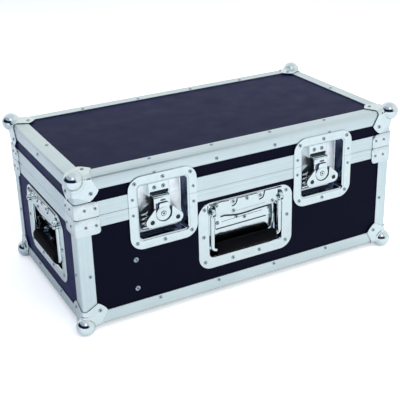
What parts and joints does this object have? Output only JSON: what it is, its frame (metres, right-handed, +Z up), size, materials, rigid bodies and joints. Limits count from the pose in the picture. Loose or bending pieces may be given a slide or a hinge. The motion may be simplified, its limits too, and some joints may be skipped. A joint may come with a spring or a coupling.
{
  "type": "flight case",
  "caption": "Small flight case of black laminated board in aluminium edging, with a hinged lid, ball corners, recessed turn latches and recessed spring handles on the front and both ends.",
  "frame": {"origin": "middle of the bounding box, on the surface that the four lower ball corners stand on", "axes": "+X to the right along the long side as seen from the front, +Y from the front with the latches to the hinged back, +Z up"},
  "size_m": [0.5422, 0.2952, 0.2452],
  "materials": {
    "edge_aluminium": "satin anodised",
    "black_laminate": "plywood with a smooth black laminate",
    "plywood": "bare plywood",
    "chromed_steel": "bright plated",
    "zinc_steel": "zinc plated",
    "black_rubber": "moulded, matt"
  },
  "bodies": {
    "base": {"base_edge_frame": "edge_aluminium", "base_post_front_left": "edge_aluminium", "base_post_front_right": "edge_aluminium", "base_post_back_left": "edge_aluminium", "base_post_back_right": "edge_aluminium", "base_closing_rail": "edge_aluminium", "base_closing_rail_front": "edge_aluminium", "base_floor_panel": "black_laminate", "base_front_panel": "black_laminate", "base_back_panel": "black_laminate", "base_left_panel": "black_laminate", "base_right_panel": "black_laminate", "divider_panel": "plywood", "divider_screw_upper": "zinc_steel", "divider_screw_lower": "zinc_steel", "base_ball_corner_front_left": "chromed_steel", "base_ball_corner_front_right": "chromed_steel", "base_ball_corner_back_left": "chromed_steel", "base_ball_corner_back_right": "chromed_steel", "base_corner_bracket_front_left": "edge_aluminium", "base_corner_bracket_front_right": "edge_aluminium", "base_corner_bracket_back_left": "edge_aluminium", "base_corner_bracket_back_right": "edge_aluminium", "latch_left_base_dish": "chromed_steel", "latch_right_base_dish": "chromed_steel", "handle_front_dish": "chromed_steel", "handle_left_dish": "chromed_steel", "handle_right_dish": "chromed_steel", "hinge_base_leaf": "zinc_steel"},
    "lid": {"lid_edge_frame": "edge_aluminium", "lid_closing_rail": "edge_aluminium", "lid_closing_rail_front": "edge_aluminium", "lid_top_panel": "black_laminate", "lid_front_strip": "black_laminate", "lid_back_strip": "black_laminate", "lid_left_strip": "black_laminate", "lid_right_strip": "black_laminate", "lid_ball_corner_front_left": "chromed_steel", "lid_ball_corner_front_right": "chromed_steel", "lid_ball_corner_back_left": "chromed_steel", "lid_ball_corner_back_right": "chromed_steel", "lid_corner_bracket_front_left": "edge_aluminium", "lid_corner_bracket_front_right": "edge_aluminium", "lid_corner_bracket_back_left": "edge_aluminium", "lid_corner_bracket_back_right": "edge_aluminium", "latch_left_lid_dish": "chromed_steel", "latch_right_lid_dish": "chromed_steel", "hinge_lid_leaf": "zinc_steel"},
    "latch_left_turn": {"latch_left_rotor": "chromed_steel"},
    "latch_left_flap": {"latch_left_wing": "chromed_steel"},
    "latch_left_slide": {"latch_left_hook": "chromed_steel"},
    "latch_right_turn": {"latch_right_rotor": "chromed_steel"},
    "latch_right_flap": {"latch_right_wing": "chromed_steel"},
    "latch_right_slide": {"latch_right_hook": "chromed_steel"},
    "handle_front": {"handle_front_bail": "chromed_steel", "handle_front_grip": "black_rubber"},
    "handle_left": {"handle_left_bail": "chromed_steel", "handle_left_grip": "black_rubber"},
    "handle_right": {"handle_right_bail": "chromed_steel", "handle_right_grip": "black_rubber"}
  },
  "joints": [
    {"name": "lid_hinge", "type": "hinge", "parent": "base", "child": "lid", "pos_m": [0, 0.142, 0.1765], "axis": [-1, 0, 0], "range_deg": [0, 175]},
    {"name": "latch_left_rotor_turn", "type": "hinge", "parent": "base", "child": "latch_left_turn", "pos_m": [-0.1329, -0.1375, 0.1564], "axis": [0, -1, 0], "range_deg": [0, 180]},
    {"name": "latch_left_wing_fold", "type": "hinge", "parent": "latch_left_turn", "child": "latch_left_flap", "pos_m": [-0.1329, -0.1359, 0.1632], "axis": [-1, 0, 0], "range_deg": [0, 90]},
    {"name": "latch_left_hook_slide", "type": "slide", "parent": "base", "child": "latch_left_slide", "axis": [0, 0, 1], "range_m": [0, 0.004]},
    {"name": "latch_right_rotor_turn", "type": "hinge", "parent": "base", "child": "latch_right_turn", "pos_m": [0.1329, -0.1375, 0.1564], "axis": [0, -1, 0], "range_deg": [0, 180]},
    {"name": "latch_right_wing_fold", "type": "hinge", "parent": "latch_right_turn", "child": "latch_right_flap", "pos_m": [0.1329, -0.1359, 0.1632], "axis": [-1, 0, 0], "range_deg": [0, 90]},
    {"name": "latch_right_hook_slide", "type": "slide", "parent": "base", "child": "latch_right_slide", "axis": [0, 0, 1], "range_m": [0, 0.004]},
    {"name": "handle_front_swing", "type": "hinge", "parent": "base", "child": "handle_front", "pos_m": [0, -0.1365, 0.1376], "axis": [-1, 0, 0], "range_deg": [0, 90], "stiffness_Nm_per_rad": 0.1, "springref_deg": -28.65},
    {"name": "handle_left_swing", "type": "hinge", "parent": "base", "child": "handle_left", "pos_m": [-0.26, 0, 0.1376], "axis": [0, 1, 0], "range_deg": [0, 90], "stiffness_Nm_per_rad": 0.1, "springref_deg": -28.65},
    {"name": "handle_right_swing", "type": "hinge", "parent": "base", "child": "handle_right", "pos_m": [0.26, 0, 0.1376], "axis": [0, -1, 0], "range_deg": [0, 90], "stiffness_Nm_per_rad": 0.1, "springref_deg": -28.65}
  ],
  "couplings": [
    {"joint": "latch_left_hook_slide", "follows": "latch_left_rotor_turn", "m_per_rad": 0.001273},
    {"joint": "latch_right_hook_slide", "follows": "latch_right_rotor_turn", "m_per_rad": 0.001273}
  ]
}
